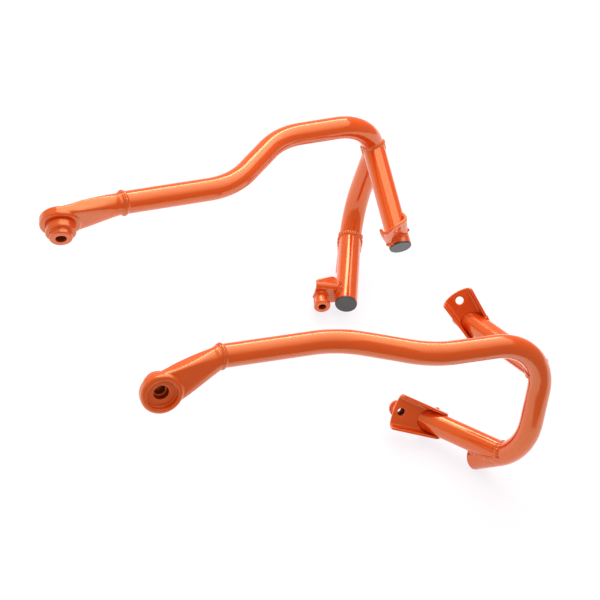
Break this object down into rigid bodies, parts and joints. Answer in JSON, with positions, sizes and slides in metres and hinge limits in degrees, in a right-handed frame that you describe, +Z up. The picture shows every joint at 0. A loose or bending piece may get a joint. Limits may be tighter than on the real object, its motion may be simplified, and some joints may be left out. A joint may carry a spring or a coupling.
{
  "type": "motorcycle crash bars",
  "caption": "Left and right welded crash bars: bent tubes with inboard struts, folded bolt-on brackets and forged rear lugs.",
  "frame": {"origin": "on the middle plane between the bars, under the middle of the pair, level with its lowest point", "axes": "+X forwards along the motorbike, +Y to its left, +Z up, as the bars are fitted"},
  "size_m": [0.4442, 0.4412, 0.2088],
  "materials": {
    "tube_coat": "gloss",
    "forging_coat": "gloss",
    "bracket_coat": "gloss",
    "weld_coat": "gloss",
    "plug": "matte"
  },
  "bodies": {
    "root": {"right_main_tube": "tube_coat", "right_end_disc": "tube_coat", "right_upper_strut": "tube_coat", "right_lower_strut": "tube_coat", "right_lug": "forging_coat", "right_lug_bush": "forging_coat", "right_lug_weld": "weld_coat", "right_upper_plug": "plug", "right_lower_plug": "plug", "right_upper_bracket": "bracket_coat", "right_lower_bracket": "bracket_coat", "right_lower_boss": "bracket_coat", "left_main_tube": "tube_coat", "left_end_disc": "tube_coat", "left_upper_strut": "tube_coat", "left_lower_strut": "tube_coat", "left_lug": "forging_coat", "left_lug_bush": "forging_coat", "left_lug_weld": "weld_coat", "left_upper_plug": "plug", "left_lower_plug": "plug", "left_upper_bracket": "bracket_coat", "left_lower_bracket": "bracket_coat", "left_lower_boss": "bracket_coat"}
  },
  "joints": []
}
